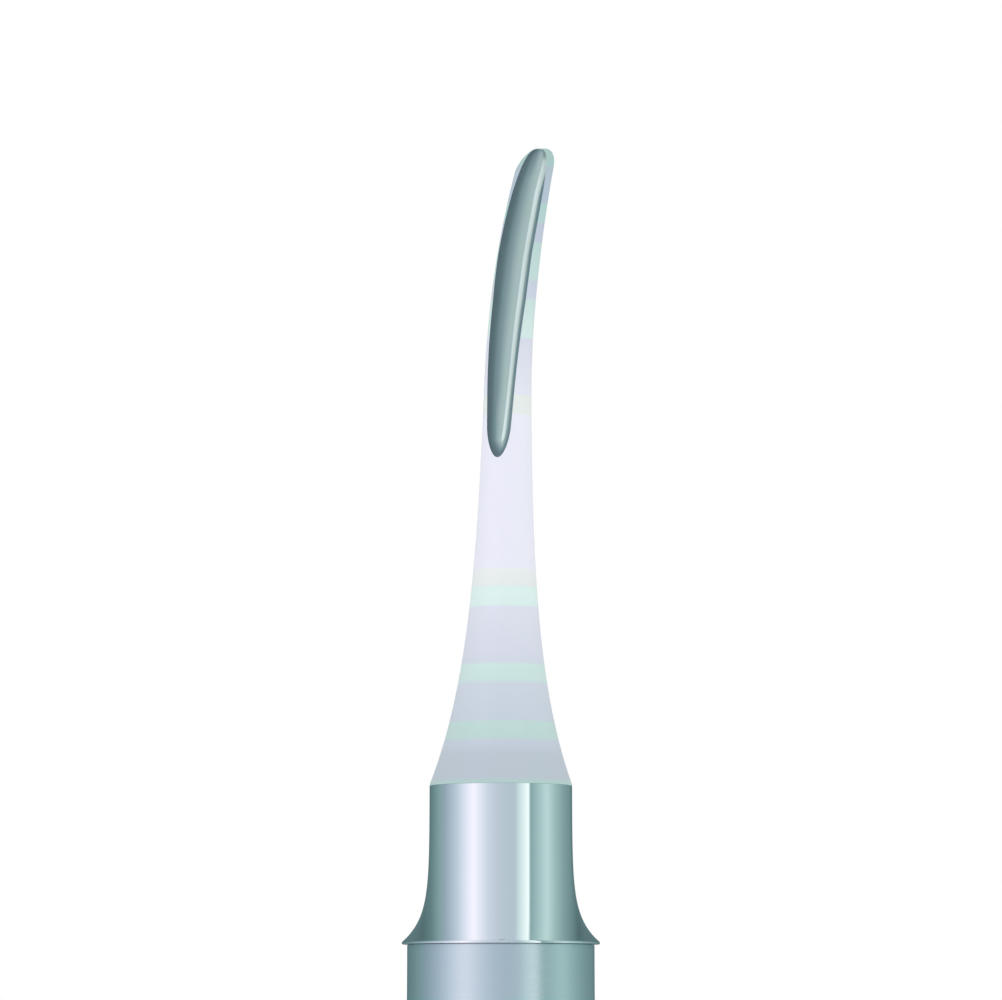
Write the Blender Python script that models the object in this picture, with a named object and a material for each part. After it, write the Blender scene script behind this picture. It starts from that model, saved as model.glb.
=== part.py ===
"""Dental root elevator, standing on the flat of its butt.

The working end is one forging: a tang, a neck that sweeps in to a slender
shank, and a bent blade with a scoop ground into its face. The tang sits in a
bell-shaped collar, the collar closes the mouth of a hollow handle, and a plug
closes the handle's foot.

Units are metres. +Z runs up the handle's axis, the scoop faces -Y and the tip
bends towards +X. The origin is the centre of the butt's flat face.
"""

import math

import bmesh
import bpy

# Handle tube, from the plug up to the collar
TUBE_LENGTH = 0.0942
TUBE_WALL = 0.0010
TUBE_FOOT_RADIUS = 0.0073
TUBE_BELLY_RADIUS = 0.0079
TUBE_MOUTH_RADIUS = 0.0061
TUBE_BELLY_HEIGHT = 0.0280

# Butt plug, the foot that the instrument stands on
PLUG_HEIGHT = 0.0035
PLUG_FLAT_RADIUS = 0.0062
PLUG_SPIGOT_LENGTH = 0.0070

# Bell collar
COLLAR_HEIGHT = 0.0103
COLLAR_FLARE_REACH = 0.0018
COLLAR_FLARE_DECAY = 0.00152
COLLAR_RIM_LAND = 0.00015
COLLAR_SPIGOT_LENGTH = 0.0080

# Working end: the neck is as wide as the collar's top and runs out to the shank
NECK_RADIUS = 0.00465
SHANK_RADIUS = 0.0014
NECK_DECAY = 0.0087
WORKING_LENGTH = 0.0420
SHANK_LEAN = 0.0172
TANG_RADIUS = 0.0025
TANG_LENGTH = 0.0240
TANG_CHAMFER = 0.0004

# Blade, with its lengths measured down from the tip
BEND_LENGTH = 0.0166
BEND_RADIUS = 0.0770
TAPER_LENGTH = 0.0108
TIP_HALF_WIDTH = 0.00118
TIP_HALF_THICKNESS = 0.00056
TIP_ROUNDING = 0.0014
TIP_END_HALF_WIDTH = 0.0005
TIP_SQUARENESS = 2.7
CORNER_ROUNDING = 0.0016
CORNER_HALF_WIDTH = 0.00026
CORNER_SQUARENESS = 1.7
EDGE_ROUNDING = 0.0009
EDGE_HALF_THICKNESS = 0.00015
FLATTEN_LENGTH = 0.0270
FACE_SQUARENESS = 5.0
BACK_STRAIGHTNESS = 0.6

# Scoop in the blade's face, between a thin land on its outer side and a wide one
SCOOP_LENGTH = 0.0206
SCOOP_RIM = 0.00006
SCOOP_OUTER_LAND = 0.00009
SCOOP_INNER_LAND = 0.0006
SCOOP_WIDEST = 0.0081
SCOOP_TIP_SQUARENESS = 3.0
SCOOP_TAPER = 0.38
SCOOP_TAPER_POWER = 1.5
SCOOP_HEEL_ROUNDING = 0.0021
SCOOP_DEPTH_SHARE = 0.6
SCOOP_HEEL_OFFSET = 0.00059
SCOOP_HEEL_DRIFT = 0.0105
SCOOP_TIP_OFFSET = 0.00002
SCOOP_TIP_DRIFT = 0.0070

# Fits
SEAM_GAP = 0.0001
SPIGOT_CLEARANCE = 0.0001
TANG_CLEARANCE = 0.0001

# Facets
TURNED_SIDES = 48
FORGED_SIDES = 40
SCOOP_SIDES = 32
SHANK_STEP = 0.0010
BLADE_STEP = 0.0007
TUBE_STEPS = 24
PLUG_EDGE_STEPS = 8
COLLAR_STEPS = 14
COLLAR_CROWDING = 1.6
TIP_STEPS = 7
TIP_CROWDING = 1.5
SCOOP_STEPS = 40
MERGE_DISTANCE = 1e-7
SHARP_ANGLE = math.radians(30.0)

# Heights of the pieces above the butt
TUBE_BASE = PLUG_HEIGHT + SEAM_GAP
TUBE_TOP = TUBE_BASE + TUBE_LENGTH
COLLAR_BASE = TUBE_TOP + SEAM_GAP
COLLAR_TOP = COLLAR_BASE + COLLAR_HEIGHT
NECK_BASE = COLLAR_TOP + SEAM_GAP


def clear_scene():
    """Remove every object that the scene holds."""
    for item in list(bpy.data.objects):
        bpy.data.objects.remove(item, do_unlink=True)


def steel(name, colour, roughness):
    """A stainless steel finish of its own for one piece."""
    material = bpy.data.materials.new(name)
    material.use_nodes = True
    shader = material.node_tree.nodes["Principled BSDF"]
    shader.inputs["Base Color"].default_value = (*colour, 1.0)
    shader.inputs["Metallic"].default_value = 1.0
    shader.inputs["Roughness"].default_value = roughness
    return material


def add_object(name, shape, material):
    """Turn a bmesh into a smooth-shaded object in the scene."""
    bmesh.ops.recalc_face_normals(shape, faces=shape.faces[:])
    mesh = bpy.data.meshes.new(name)
    shape.to_mesh(mesh)
    shape.free()
    mesh.shade_smooth()
    mesh.set_sharp_from_angle(angle=SHARP_ANGLE)
    if material is not None:
        mesh.materials.append(material)
    item = bpy.data.objects.new(name, mesh)
    bpy.context.scene.collection.objects.link(item)
    return item


def turned(name, profile, material):
    """Spin a closed profile of (radius, height) points about the handle's axis."""
    shape = bmesh.new()
    corners = [shape.verts.new((radius, 0.0, height)) for radius, height in profile]
    edges = [shape.edges.new(pair) for pair in zip(corners, corners[1:] + corners[:1])]
    bmesh.ops.spin(
        shape, geom=corners + edges, cent=(0.0, 0.0, 0.0), axis=(0.0, 0.0, 1.0),
        angle=2.0 * math.pi, steps=TURNED_SIDES, use_merge=True,
    )
    bmesh.ops.remove_doubles(shape, verts=shape.verts[:], dist=MERGE_DISTANCE)
    return add_object(name, shape, material)


def lofted(name, rings, material):
    """Skin a stack of rings that have equal counts of points, and cap both ends."""
    shape = bmesh.new()
    rows = [[shape.verts.new(point) for point in ring] for ring in rings]
    for lower, upper in zip(rows, rows[1:]):
        for i in range(len(lower)):
            j = (i + 1) % len(lower)
            shape.faces.new((lower[i], lower[j], upper[j], upper[i]))
    shape.faces.new(reversed(rows[0]))
    shape.faces.new(rows[-1])
    return add_object(name, shape, material)


def ease(start, end, share):
    """Go from start to end along half a cosine wave, level at both ends."""
    share = min(max(share, 0.0), 1.0)
    return start + (end - start) * 0.5 * (1.0 - math.cos(math.pi * share))


def rounded(share, squareness):
    """Half-width of a rounded end: 1 where share is 0, and 0 where it is 1."""
    share = min(max(share, 0.0), 1.0)
    return (1.0 - share ** squareness) ** (1.0 / squareness)


def steps_between(start, end, step):
    """Evenly spaced values from start up to, but not including, end."""
    count = max(1, math.ceil((end - start) / step))
    return [start + (end - start) * i / count for i in range(count)]


def tube_radius(height):
    """Outer radius of the handle at a height above the tube's foot."""
    if height < TUBE_BELLY_HEIGHT:
        return ease(TUBE_FOOT_RADIUS, TUBE_BELLY_RADIUS, height / TUBE_BELLY_HEIGHT)
    upper = (height - TUBE_BELLY_HEIGHT) / (TUBE_LENGTH - TUBE_BELLY_HEIGHT)
    return ease(TUBE_BELLY_RADIUS, TUBE_MOUTH_RADIUS, upper)


def make_handle_tube(material):
    """Hollow handle: one wall thickness from foot to mouth, open at both ends."""
    heights = [TUBE_LENGTH * i / TUBE_STEPS for i in range(TUBE_STEPS + 1)]
    outside = [(tube_radius(height), TUBE_BASE + height) for height in heights]
    inside = [(radius - TUBE_WALL, height) for radius, height in reversed(outside)]
    return turned("handle_tube", outside + inside, material)


def make_butt_plug(material):
    """Plug with a rounded edge, a flat foot and a spigot up the tube's bore."""
    spigot_radius = TUBE_FOOT_RADIUS - TUBE_WALL - SPIGOT_CLEARANCE
    edge_width = TUBE_FOOT_RADIUS - PLUG_FLAT_RADIUS
    profile = [(0.0, 0.0)]
    for i in range(PLUG_EDGE_STEPS + 1):
        angle = 0.5 * math.pi * i / PLUG_EDGE_STEPS
        radius = PLUG_FLAT_RADIUS + edge_width * math.sin(angle)
        profile.append((radius, PLUG_HEIGHT * (1.0 - math.cos(angle))))
    profile.append((spigot_radius, PLUG_HEIGHT))
    profile.append((spigot_radius, PLUG_HEIGHT + PLUG_SPIGOT_LENGTH))
    profile.append((0.0, PLUG_HEIGHT + PLUG_SPIGOT_LENGTH))
    return turned("butt_plug", profile, material)


def collar_radius(height):
    """Outer radius of the collar at a height above its rim."""
    climb = max(0.0, height - COLLAR_RIM_LAND)
    return NECK_RADIUS + COLLAR_FLARE_REACH * math.exp(-climb / COLLAR_FLARE_DECAY)


def make_collar(material):
    """Bell collar, bored for the tang, with a spigot down into the tube's mouth."""
    spigot_radius = TUBE_MOUTH_RADIUS - TUBE_WALL - SPIGOT_CLEARANCE
    bore_radius = TANG_RADIUS + TANG_CLEARANCE
    spigot_end = COLLAR_BASE - COLLAR_SPIGOT_LENGTH
    profile = [(bore_radius, spigot_end), (spigot_radius, spigot_end), (spigot_radius, COLLAR_BASE)]
    profile.append((collar_radius(0.0), COLLAR_BASE))
    for i in range(COLLAR_STEPS + 1):
        climb = (COLLAR_HEIGHT - COLLAR_RIM_LAND) * (i / COLLAR_STEPS) ** COLLAR_CROWDING
        height = COLLAR_RIM_LAND + climb
        profile.append((collar_radius(height), COLLAR_BASE + height))
    profile.append((bore_radius, COLLAR_TOP))
    return turned("collar", profile, material)


def centre_x(height):
    """Sideways place of the working end's centre line at a height above its seat."""
    beyond = max(0.0, height - (WORKING_LENGTH - BEND_LENGTH))
    bend = BEND_RADIUS - math.sqrt(BEND_RADIUS ** 2 - beyond ** 2)
    return SHANK_LEAN * height + bend


def half_width(height):
    """Half-width seen from the front, without the tip's rounding."""
    width = SHANK_RADIUS + (NECK_RADIUS - SHANK_RADIUS) * math.exp(-height / NECK_DECAY)
    taper = max(0.0, height - (WORKING_LENGTH - TAPER_LENGTH)) / TAPER_LENGTH
    return width + (TIP_HALF_WIDTH - width) * taper ** 2


def flatness(height):
    """How far the round shank has become the flat blade: 0 in the shank, 1 at the tip."""
    return ease(0.0, 1.0, 1.0 - (WORKING_LENGTH - height) / FLATTEN_LENGTH)


def half_thickness(height):
    """Half-thickness seen from the side, without the tip's rounding."""
    width = half_width(height)
    return width + (TIP_HALF_THICKNESS - width) * flatness(height)


def narrowed(height, length, end_share, squareness):
    """Share of a size that the rounded tip leaves: 1 below it, and end_share at its top."""
    last = rounded(end_share, squareness)
    return rounded(last * (1.0 - (WORKING_LENGTH - height) / length), squareness)


def section(height):
    """Centre, half-width, half-thickness and face squareness at a height."""
    width = half_width(height)
    thickness = half_thickness(height)
    centre_y = BACK_STRAIGHTNESS * (width - thickness)
    width *= narrowed(height, TIP_ROUNDING, TIP_END_HALF_WIDTH / TIP_HALF_WIDTH, TIP_SQUARENESS)
    thickness *= narrowed(height, EDGE_ROUNDING, EDGE_HALF_THICKNESS / TIP_HALF_THICKNESS, 2.0)
    squareness = 2.0 + (FACE_SQUARENESS - 2.0) * flatness(height)
    return (centre_x(height), centre_y), width, thickness, squareness


def outer_half_width(height):
    """Half-width on the outer side, where the tip's corner is ground off further down."""
    corner = narrowed(height, CORNER_ROUNDING, CORNER_HALF_WIDTH / TIP_HALF_WIDTH, CORNER_SQUARENESS)
    return min(section(height)[1], half_width(height) * corner)


def section_ring(height):
    """Points round one section: a flattened face towards -Y and a round back."""
    (x, y), inner_width, thickness, squareness = section(height)
    outer_width = outer_half_width(height)
    ring = []
    for i in range(FORGED_SIDES):
        angle = 2.0 * math.pi * i / FORGED_SIDES
        across, out = math.cos(angle), math.sin(angle)
        power = 2.0 / squareness if out < 0.0 else 1.0
        side = math.copysign(abs(across) ** power, across)
        rise = math.copysign(abs(out) ** power, out)
        width = outer_width if across < 0.0 else inner_width
        ring.append((x + width * side, y + thickness * rise, NECK_BASE + height))
    return ring


def face_y(height, across):
    """Y of the blade's face at a sideways distance from the section's centre."""
    (_, y), inner_width, thickness, squareness = section(height)
    width = outer_half_width(height) if across < 0.0 else inner_width
    share = min(1.0, abs(across) / width)
    return y - thickness * (1.0 - share ** squareness) ** (1.0 / squareness)


def circle(centre_x_y, radius, height, sides):
    """Points round a level circle at a height above the working end's seat."""
    turns = [2.0 * math.pi * i / sides for i in range(sides)]
    x, y = centre_x_y
    return [(x + radius * math.cos(a), y + radius * math.sin(a), NECK_BASE + height) for a in turns]


def scoop_half_width(below_top):
    """Half-width of the scoop at a distance below its top, nothing at either end."""
    widest = WORKING_LENGTH - SCOOP_RIM - SCOOP_WIDEST
    full = half_width(widest) - 0.5 * (SCOOP_OUTER_LAND + SCOOP_INNER_LAND)
    if below_top < SCOOP_WIDEST:
        return full * rounded(1.0 - below_top / SCOOP_WIDEST, SCOOP_TIP_SQUARENESS)
    share = (below_top - SCOOP_WIDEST) / (SCOOP_LENGTH - SCOOP_WIDEST)
    tapered = full * (1.0 - SCOOP_TAPER * share ** SCOOP_TAPER_POWER)
    return tapered * rounded(1.0 - (SCOOP_LENGTH - below_top) / SCOOP_HEEL_ROUNDING, 2.0)


def scoop_offset(below_top):
    """How far the scoop's middle lies to the outer side of the blade's centre line."""
    middle = 0.5 * (SCOOP_INNER_LAND - SCOOP_OUTER_LAND)
    tip_drift = max(0.0, 1.0 - below_top / SCOOP_TIP_DRIFT)
    heel_drift = max(0.0, 1.0 - (SCOOP_LENGTH - below_top) / SCOOP_HEEL_DRIFT)
    middle += (SCOOP_TIP_OFFSET - middle) * tip_drift
    return middle + (SCOOP_HEEL_OFFSET - middle) * heel_drift


def scoop_ring(below_top):
    """Circle that cuts the scoop at one height, through both of its edges."""
    height = WORKING_LENGTH - SCOOP_RIM - below_top
    width = scoop_half_width(below_top)
    left = -scoop_offset(below_top) - width
    right = left + 2.0 * width
    left_y, right_y = face_y(height, left), face_y(height, right)
    chord = math.hypot(right - left, right_y - left_y)
    along = ((right - left) / chord, (right_y - left_y) / chord)
    depth = SCOOP_DEPTH_SHARE * width
    radius = ((0.5 * chord) ** 2 + depth ** 2) / (2.0 * depth)
    middle_x = centre_x(height) + 0.5 * (left + right) + along[1] * (radius - depth)
    middle_y = 0.5 * (left_y + right_y) - along[0] * (radius - depth)
    return circle((middle_x, middle_y), radius, height, SCOOP_SIDES)


def make_working_end(material):
    """Tang, neck, shank and blade in one loft, with the scoop cut from its face."""
    rings = [
        circle((0.0, 0.0), TANG_RADIUS - TANG_CHAMFER, -TANG_LENGTH, FORGED_SIDES),
        circle((0.0, 0.0), TANG_RADIUS, TANG_CHAMFER - TANG_LENGTH, FORGED_SIDES),
        circle((0.0, 0.0), TANG_RADIUS, 0.0, FORGED_SIDES),
    ]
    blade_start = WORKING_LENGTH - FLATTEN_LENGTH
    heights = steps_between(0.0, blade_start, SHANK_STEP)
    heights += steps_between(blade_start, WORKING_LENGTH - TIP_ROUNDING, BLADE_STEP)
    for i in range(TIP_STEPS + 1):
        heights.append(WORKING_LENGTH - TIP_ROUNDING * (1.0 - i / TIP_STEPS) ** TIP_CROWDING)
    rings += [section_ring(height) for height in heights]
    forging = lofted("working_end", rings, material)

    scoop_rings = [scoop_ring(ease(0.0, SCOOP_LENGTH, i / SCOOP_STEPS)) for i in range(1, SCOOP_STEPS)]
    cutter = lofted("scoop_cutter", scoop_rings, None)
    cutter.hide_render = True
    cutter.display_type = "WIRE"

    cut = forging.modifiers.new("scoop", "BOOLEAN")
    cut.operation = "DIFFERENCE"
    cut.solver = "EXACT"
    cut.object = cutter
    return forging


def main():
    """Build the four pieces."""
    clear_scene()
    make_working_end(steel("working_end_satin_steel", (0.78, 0.80, 0.82), 0.35))
    make_collar(steel("collar_polished_steel", (0.72, 0.77, 0.79), 0.15))
    make_handle_tube(steel("handle_satin_steel", (0.70, 0.74, 0.76), 0.30))
    make_butt_plug(steel("plug_polished_steel", (0.72, 0.77, 0.79), 0.20))


main()
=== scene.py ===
"""Looks of the dental root elevator: fine meshes, steel finishes, studio and camera."""

import logging
import math
from dataclasses import dataclass
from enum import Enum
from typing import Any

import bpy
from bpy.types import ColorRamp, Material, Mesh, Node, NodeSocket, NodeTree, Object
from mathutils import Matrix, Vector


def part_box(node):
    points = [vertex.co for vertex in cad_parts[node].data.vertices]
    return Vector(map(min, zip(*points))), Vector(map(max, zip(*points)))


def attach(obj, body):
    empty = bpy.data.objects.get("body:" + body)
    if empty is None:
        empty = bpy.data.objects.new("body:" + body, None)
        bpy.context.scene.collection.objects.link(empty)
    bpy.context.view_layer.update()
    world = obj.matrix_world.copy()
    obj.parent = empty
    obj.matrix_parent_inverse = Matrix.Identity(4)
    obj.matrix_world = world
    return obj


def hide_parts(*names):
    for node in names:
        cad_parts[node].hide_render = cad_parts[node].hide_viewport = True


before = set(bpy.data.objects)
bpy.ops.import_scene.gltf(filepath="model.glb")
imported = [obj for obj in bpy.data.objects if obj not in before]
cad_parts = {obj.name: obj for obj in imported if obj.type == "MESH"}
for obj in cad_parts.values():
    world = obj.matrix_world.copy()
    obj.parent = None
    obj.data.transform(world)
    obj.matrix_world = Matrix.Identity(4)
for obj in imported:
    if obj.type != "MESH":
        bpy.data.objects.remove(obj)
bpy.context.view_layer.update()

Ring = tuple[float, float]
Span = tuple[float, float]
Stops = list[tuple[float, str]]
Input = Node | NodeSocket | float | tuple[float, ...]
Inputs = dict[str | int, Input]

LOG = logging.getLogger("root_elevator")
ROOT_BODY = "root"
MM = 0.001  # metres
WHITE = "#ffffff"
BLACK = "#000000"

# Facets round a turned piece, steps of a softened edge, and the angle that stays a sharp edge.
SIDES = 144
BEVEL_STEPS = 4
SHARP_ANGLE = math.radians(32.0)

# In metres: how near a point is to a ring that it lies on, how near points are that merge, and
# what counts as nothing.
SAME_PLACE = 1e-6
MERGE_DISTANCE = 1e-7
NOTHING = 1e-9

# What the forging's mesh carries for the scoop's material, including its painted shade and
# highlight.
ACROSS_ATTRIBUTE = "scoop_across"
SHADE_ATTRIBUTE = "scoop_shade"

# The colour mixing node has sockets of several types under each name, so these go by number.
FIRST_COLOUR, SECOND_COLOUR, MIXED_COLOUR = 6, 7, 2

# The direction in which the camera looks, what keeps the level part of a direction, and how far
# above the collar the camera aims.
AWAY = (0.0, 1.0, 0.0)
LEVEL = (1.0, 1.0, 0.0)
AIM_ABOVE_COLLAR = 18.76 * MM

# The forging's pale steel colour with painted reflections and painted shade, by millimetres above
# the collar: greyer at the neck, palest in the shank and cool at the tip.
STEEL_COLOUR_AND_PAINTED_SHADE: Stops = [
    (0.0, "#bdc7d2"), (1.9, "#bfc9d4"), (2.4, "#c6cfdc"), (3.6, "#c9d3df"), (6.5, "#d0d8e4"),
    (8.0, "#d5dce8"), (8.6, "#daddeb"), (11.6, "#e0e4f0"), (12.77, "#e4e9f0"), (12.82, "#e9eeed"),
    (14.02, "#edf1f2"), (14.07, "#eeeefa"), (24.12, "#efeffb"), (24.22, "#e9f0ed"),
    (25.42, "#e9efec"), (25.52, "#e7eaf6"), (27.5, "#e1e4f0"), (29.4, "#dbdeec"),
    (32.5, "#cdd5e3"), (36.3, "#c2ccdb"), (39.0, "#b7c6d4"), (41.0, "#b3c3cd"),
]

# Painted reflection bands: their mint tint by millimetres above the collar, and where each one
# starts and ends.
PAINTED_MINT_REFLECTIONS: Stops = [
    (0.0, "#b5d2cd"), (3.5, "#c1dbd8"), (7.3, "#cee6e3"), (12.3, "#e0f4f1"), (29.6, "#d6ece9"),
    (31.8, "#cde4e0"), (33.3, "#c5dfdc"), (35.5, "#bfdad7"), (37.6, "#b6d5d3"), (41.4, "#abcac6"),
]
PAINTED_MINT_REFLECTION_BANDS: list[Span] = [
    (0.0, 0.16), (2.8, 4.06), (6.57, 7.82), (11.59, 12.82), (29.27, 31.85), (33.15, 35.66),
    (36.96, 38.33), (40.77, 43.0),
]

# Painted shade of the scoop, from its dark steep outer wall to its lighter flat inner side.
SCOOP_PAINTED_SHADE_TONES: Stops = [
    (0.0, "#5f727b"), (0.15, "#677d82"), (0.3, "#7f969b"), (0.5, "#a6bcbb"), (0.6, "#acc2be"),
]

# The strip lights, by where the front of a round collar mirrors them: -1 and 1 are its sides.
STRIPS: Stops = [
    (-1.3, "#4f6a6d"), (-1.1, "#506b6d"), (-0.98, "#628082"), (-0.86, "#81a0a0"),
    (-0.8, "#8fa3b0"), (-0.65, "#b3c3d0"), (-0.54, "#d1dbe8"), (-0.45, "#eaecfa"),
    (-0.38, "#f6f5ff"), (-0.29, "#e2e6f2"), (-0.18, "#c9d4e1"), (-0.04, "#bbc7d2"),
    (0.09, "#b3c4ce"), (0.2, "#b3c1cc"), (0.24, "#bfd7d9"), (0.37, "#eefcfb"),
    (0.397, "#f2ffff"), (0.409, "#80a1a2"), (0.5, "#99b8b8"), (0.65, "#b9d6d3"),
    (0.77, "#99b8b7"), (0.89, "#7e9d9d"), (0.99, "#6c8a8b"), (1.1, "#4f6a6b"), (1.3, "#4f6a6e"),
]


def ease(start: float, end: float, share: float) -> float:
    """Go from start to end along half a cosine wave, level at both ends.

    Args:
        start: Value where share is 0.
        end: Value where share is 1.
        share: How far along; it is held between 0 and 1.

    Returns:
        The eased value.
    """
    share = min(max(share, 0.0), 1.0)
    return start + (end - start) * 0.5 * (1.0 - math.cos(math.pi * share))


def rounded(share: float, squareness: float) -> float:
    """Half-width of a rounded end.

    Args:
        share: 0 where the end is at full width and 1 at its last point.
        squareness: 2 for an ellipse, and more for a squarer end.

    Returns:
        The half-width as a share of the full one.
    """
    share = min(max(share, 0.0), 1.0)
    return (1.0 - share**squareness) ** (1.0 / squareness)


def linear(colour: str) -> tuple[float, float, float, float]:
    """Turn an sRGB hex value to the linear colour that shaders take.

    Args:
        colour: Six hex digits after a hash.

    Returns:
        Linear red, green and blue, and an alpha of 1.
    """
    parts = [int(colour[i : i + 2], 16) / 255.0 for i in (1, 3, 5)]
    red, green, blue = (p / 12.92 if p <= 0.04045 else ((p + 0.055) / 1.055) ** 2.4 for p in parts)
    return red, green, blue, 1.0


def connect(tree: NodeTree, node: Node, inputs: Inputs) -> None:
    """Give a node's inputs their links and values.

    Args:
        tree: The node's tree.
        node: The node.
        inputs: For each input's name or number, a value to set or a socket to link, or a node,
            whose first output is linked.
    """
    for name, value in inputs.items():
        value = value.outputs[0] if isinstance(value, Node) else value
        if isinstance(value, NodeSocket):
            tree.links.new(value, node.inputs[name])
        else:
            node.inputs[name].default_value = value


def add_node(tree: NodeTree, kind: str, inputs: Inputs, **settings: Any) -> Node:
    """Add a node with its settings and links.

    Args:
        tree: Node tree that gets the node.
        kind: Blender's name for the node's type, without the ShaderNode in front.
        inputs: What the node's inputs get, in the way that connect takes it.
        settings: Values for the node's own properties.

    Returns:
        The new node.
    """
    node = tree.nodes.new("ShaderNode" + kind)
    for name, value in settings.items():
        setattr(node, name, value)
    connect(tree, node, inputs)
    return node


def fill_ramp(ramp: ColorRamp, stops: Stops) -> None:
    """Give a colour ramp its stops.

    Args:
        ramp: The ramp, as it comes with its node.
        stops: Position from 0 to 1 and sRGB hex of each stop, in rising order.
    """
    elements = ramp.elements
    while len(elements) > 1:
        elements.remove(elements[-1])
    elements[0].position = stops[0][0]
    elements[0].color = linear(stops[0][1])
    for position, colour in stops[1:]:
        elements.new(position).color = linear(colour)


def start_material(name: str) -> tuple[Material, NodeTree, Node]:
    """Start a material.

    Args:
        name: The real finish.

    Returns:
        The material, its node tree and its shader.
    """
    material = bpy.data.materials.new(name)
    material.use_nodes = True
    return material, material.node_tree, material.node_tree.nodes["Principled BSDF"]


@dataclass(frozen=True)
class Climb:
    """A climb from low to high over a length past its start, level before and after."""

    start: float
    length: float
    low: float = 0.0
    high: float = 1.0

    def at(self, place: float) -> float:
        """Height of the climb at a place."""
        return ease(self.low, self.high, (place - self.start) / self.length)


@dataclass(frozen=True)
class Fade:
    """An amount that is full at its start and gone a length further on, by a power."""

    amount: float
    start: float
    length: float
    power: float = 1.0

    def at(self, place: float) -> float:
        """What is left of the amount at a place."""
        return self.amount * max(0.0, 1.0 - (place - self.start) / self.length) ** self.power


@dataclass(frozen=True)
class Grain:
    """How rough a finish is, how much its fine marks vary that, and their depth in metres."""

    roughness: float
    spread: float
    depth: float

    def cut(self, tree: NodeTree, shader: Node, marks: Node) -> None:
        """Let the marks vary the shader's roughness and stand up from its surface.

        Args:
            tree: The material's node tree.
            shader: Its shader.
            marks: Gives the marks' height, from 0 to 1.
        """
        low, high = self.roughness - self.spread, self.roughness + self.spread
        rough = add_node(tree, "MapRange", {"Value": marks, "To Min": low, "To Max": high})
        bump = add_node(tree, "Bump", {"Height": marks, "Distance": self.depth, "Strength": 1.0})
        connect(tree, shader, {"Roughness": rough, "Normal": bump})


class Polish(Enum):
    """How far the steel was worked after turning: its grain's spread, and its depth in metres."""

    MIRROR = (0.015, 2.0e-7)
    SATIN = (0.05, 1.5e-6)


@dataclass(frozen=True)
class TurnedSteel:
    """Stainless steel turned on a lathe and polished: it mirrors the lights as clean stripes.

    The fine marks of turning run round it, and break the stripes' edges up where it is satin.
    """

    name: str
    colour: str
    polish: Polish
    roughness: float
    mark_spacing: float = 0.16 * MM
    marks_across: float = 40.0

    def make(self) -> Material:
        """Build the material.

        Returns:
            Polished or satin steel.
        """
        material, tree, shader = start_material(self.name)
        connect(tree, shader, {"Base Color": linear(self.colour), "Metallic": 1.0})
        place = add_node(tree, "TexCoord", {}).outputs["Object"]
        # Turning marks are rings, so the noise is squeezed along the axis and drawn out round it.
        # Real ones are about 0.05 mm apart, which is under a pixel, so these are three times
        # coarser.
        scale = (self.marks_across, self.marks_across, 1.0 / self.mark_spacing)
        squeezed = add_node(tree, "VectorMath", {0: place, 1: scale}, operation="MULTIPLY")
        marks = add_node(tree, "TexNoise", {"Vector": squeezed, "Scale": 1.0, "Detail": 3.0})
        Grain(self.roughness, *self.polish.value).cut(tree, shader, marks)
        return material


@dataclass(frozen=True)
class SatinSteelWithPaintedReflections:
    """Forged stainless steel with a fine satin finish and painted reflection tints along it.

    It gives a pale, soft, even surface in cool lavender, with thin mint bands across. The tints
    and bands are painted reflections and painted shade, and follow the height above the collar.
    """

    name: str
    base: float
    top: float
    metallic: float = 0.1
    specular: float = 0.1
    sheen: float = 0.22
    grain: Grain = Grain(roughness=0.5, spread=0.06, depth=2.0e-6)
    brush_spacing: float = 0.09 * MM
    brush_lengthwise: float = 250.0
    band_softness: float = 0.03

    def stops(self, tints: Stops) -> Stops:
        """Turn the stops' millimetres above the collar to shares of the way to the tip."""
        length = (self.top - self.base) / MM
        return [(min(1.0, height / length), colour) for height, colour in tints]

    def bands(self) -> Stops:
        """Find where the painted mint reflection bands are.

        Returns:
            Stops of a ramp that is white in a band and black between.
        """
        soft = self.band_softness
        marks = []
        for low, high in PAINTED_MINT_REFLECTION_BANDS:
            marks += [(low - soft, BLACK), (low + soft, WHITE)]
            marks += [(high - soft, WHITE), (high + soft, BLACK)]
        length = (self.top - self.base) / MM
        return self.stops([(height, colour) for height, colour in marks if 0.0 < height < length])

    def make(self) -> Material:
        """Build the material.

        Returns:
            Satin steel with painted reflection tints.
        """
        material, tree, shader = start_material(self.name)
        place = add_node(tree, "TexCoord", {}).outputs["Object"]
        height = add_node(tree, "SeparateXYZ", {0: place}).outputs["Z"]
        climb = {"Value": height, "From Min": self.base, "From Max": self.top}
        share = add_node(tree, "MapRange", climb)
        # The steel and mint ramps are painted reflections and painted shade, mixed by the bands.
        steel, mint, bands = [add_node(tree, "ValToRGB", {"Fac": share}) for _ in range(3)]
        fill_ramp(steel.color_ramp, self.stops(STEEL_COLOUR_AND_PAINTED_SHADE))
        fill_ramp(mint.color_ramp, self.stops(PAINTED_MINT_REFLECTIONS))
        fill_ramp(bands.color_ramp, self.bands())
        tints = {"Factor": bands, FIRST_COLOUR: steel, SECOND_COLOUR: mint}
        connect(tree, shader, {
            "Base Color": add_node(tree, "Mix", tints, data_type="RGBA").outputs[MIXED_COLOUR],
            "Metallic": self.metallic,
            "Specular IOR Level": self.specular,
            "Sheen Weight": self.sheen,
        })
        # Satin brushing runs lengthwise, so the noise is drawn out along the height. Real
        # brushing is about 0.03 mm apart, too fine to show, so this is three times coarser.
        scale = (1.0 / self.brush_spacing, 1.0 / self.brush_spacing, self.brush_lengthwise)
        drawn = add_node(tree, "VectorMath", {0: place, 1: scale}, operation="MULTIPLY")
        brushing = add_node(tree, "TexNoise", {"Vector": drawn, "Scale": 1.0, "Detail": 2.0})
        self.grain.cut(tree, shader, brushing)
        return material


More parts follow.
